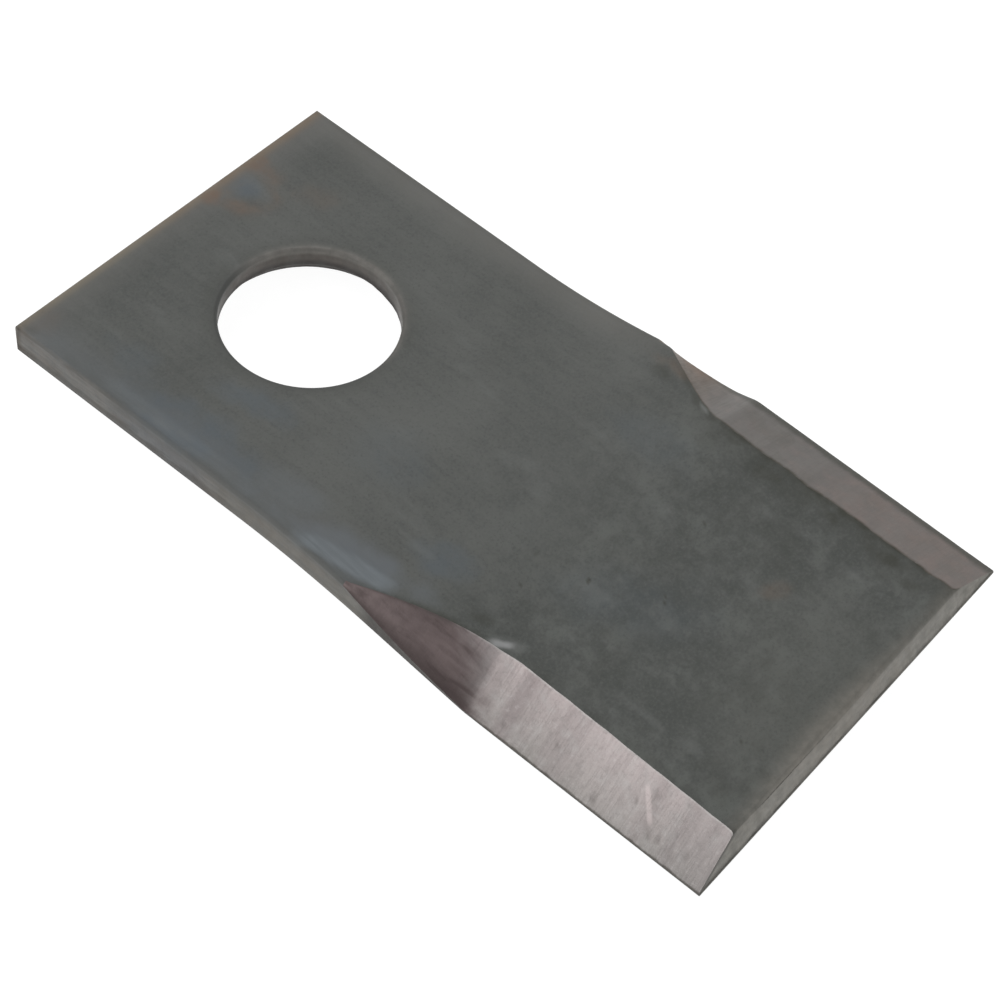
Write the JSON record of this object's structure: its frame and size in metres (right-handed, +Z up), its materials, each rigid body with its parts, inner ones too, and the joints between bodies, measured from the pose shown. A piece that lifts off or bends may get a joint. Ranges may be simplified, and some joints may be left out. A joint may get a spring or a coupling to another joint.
{
  "type": "rotary mower blade",
  "caption": "Twisted flat steel mower knife with a punched pivot bore at its flat end and ground cutting bevels along both long sides of its twisted outer half.",
  "frame": {"origin": "centre of the pivot bore at mid thickness", "axes": "+X along the bar from the bore towards the cutting end, +Z up from the level surface that the blade lies on, so the bore axis leans 7.80 degrees from +Z towards +Y"},
  "size_m": [0.1, 0.0481, 0.0104],
  "materials": {
    "blade_steel": "dark hardening scale on the faces, bare ground steel on the cutting bevels, light grey sheared and rolled edges"
  },
  "bodies": {
    "root": {"blade": "blade_steel"}
  },
  "joints": []
}
